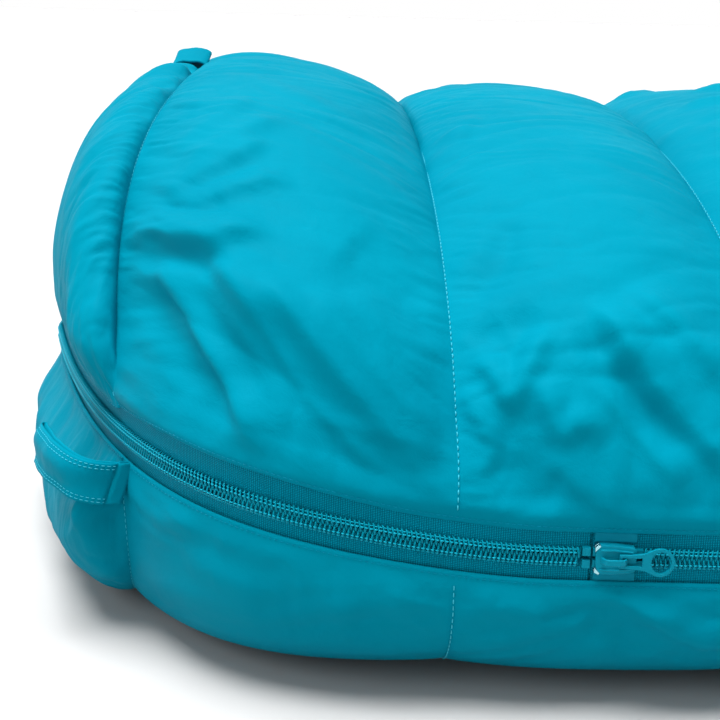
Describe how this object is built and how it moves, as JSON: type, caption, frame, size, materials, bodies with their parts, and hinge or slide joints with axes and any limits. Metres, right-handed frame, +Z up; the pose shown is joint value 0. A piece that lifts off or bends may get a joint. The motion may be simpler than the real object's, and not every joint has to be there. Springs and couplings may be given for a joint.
{
  "type": "camp quilt",
  "caption": "Down camp quilt with cross chambers, folded lengthwise and zipped along the side and round the foot into an insulated bag that opens out flat.",
  "frame": {"origin": "middle of the footprint, on the ground", "axes": "+X from the foot to the open head end, +Z up, the side zip on the -Y side and the fold on the +Y side"},
  "size_m": [1.8188, 0.7132, 0.1998],
  "materials": {
    "shell_fabric": "satin",
    "lining_fabric": "satin",
    "down_fill": "matte",
    "baffle_mesh": "matte",
    "zip_tape": "matte",
    "zip_coil": "satin",
    "zip_hardware": "satin",
    "bare_metal": "satin",
    "reinforcing_film": "satin"
  },
  "bodies": {
    "quilt": {"down_fill_01": "down_fill", "down_fill_02": "down_fill", "down_fill_03": "down_fill", "down_fill_04": "down_fill", "down_fill_05": "down_fill", "down_fill_06": "down_fill", "down_fill_07": "down_fill", "down_fill_08": "down_fill", "down_fill_09": "down_fill", "down_fill_10": "down_fill", "down_fill_11": "down_fill", "down_fill_12": "down_fill", "down_fill_13": "down_fill", "foot_fill_upper": "down_fill", "foot_fill_lower": "down_fill", "baffle_wall_01": "baffle_mesh", "baffle_wall_02": "baffle_mesh", "baffle_wall_03": "baffle_mesh", "baffle_wall_04": "baffle_mesh", "baffle_wall_05": "baffle_mesh", "baffle_wall_06": "baffle_mesh", "baffle_wall_07": "baffle_mesh", "baffle_wall_08": "baffle_mesh", "baffle_wall_09": "baffle_mesh", "baffle_wall_10": "baffle_mesh", "baffle_wall_11": "baffle_mesh", "baffle_wall_12": "baffle_mesh", "outer_shell": "shell_fabric", "foot_shell_upper": "shell_fabric", "foot_shell_lower": "shell_fabric", "head_hem_binding": "shell_fabric", "hang_loop": "shell_fabric", "top_loop": "shell_fabric", "lining": "lining_fabric", "foot_lining_upper": "lining_fabric", "foot_lining_lower": "lining_fabric", "side_zip_tape_upper": "zip_tape", "side_zip_coil_upper": "zip_coil", "side_zip_tape_lower": "zip_tape", "side_zip_coil_lower": "zip_coil", "foot_zip_tape_upper": "zip_tape", "foot_zip_coil_upper": "zip_coil", "foot_zip_tape_lower": "zip_tape", "foot_zip_coil_lower": "zip_coil", "foot_zip_end_stop": "bare_metal", "foot_zip_stop_upper": "bare_metal", "foot_zip_stop_lower": "bare_metal", "side_zip_top_stop_upper": "bare_metal", "side_zip_top_stop_lower": "bare_metal", "side_zip_insert_pin": "zip_hardware", "side_zip_retainer_pin": "zip_hardware", "film_patch_upper": "reinforcing_film", "film_patch_lower": "reinforcing_film"},
    "side_lower_slider": {"side_lower_slider": "zip_hardware"},
    "side_lower_pull": {"side_lower_pull": "zip_hardware"},
    "side_upper_slider": {"side_upper_slider": "zip_hardware"},
    "side_upper_pull": {"side_upper_pull": "zip_hardware"},
    "foot_slider": {"foot_slider": "zip_hardware"},
    "foot_pull": {"foot_pull": "zip_hardware"}
  },
  "joints": [
    {"name": "side_lower_slide", "type": "slide", "parent": "quilt", "child": "side_lower_slider", "axis": [0.9985, -0.0549, 0], "range_m": [0, 1.5396]},
    {"name": "side_lower_pull_turn", "type": "hinge", "parent": "side_lower_slider", "child": "side_lower_pull", "pos_m": [-0.69455, -0.27133, 0.056], "axis": [0, 0, -1], "range_deg": [0, 175]},
    {"name": "side_upper_slide", "type": "slide", "parent": "quilt", "child": "side_upper_slider", "axis": [0.9985, -0.0549, 0], "range_m": [-1.5396, 0]},
    {"name": "side_upper_pull_turn", "type": "hinge", "parent": "side_upper_slider", "child": "side_upper_pull", "pos_m": [0.88085, -0.35798, 0.056], "axis": [0, 0, 1], "range_deg": [0, 175]},
    {"name": "foot_slide", "type": "slide", "parent": "quilt", "child": "foot_slider", "axis": [0, -1, 0], "range_m": [0, 0.145]},
    {"name": "foot_pull_turn", "type": "hinge", "parent": "foot_slider", "child": "foot_pull", "pos_m": [-0.905, 0.0976, 0.0795], "axis": [0, 0, -1], "range_deg": [0, 175]}
  ]
}
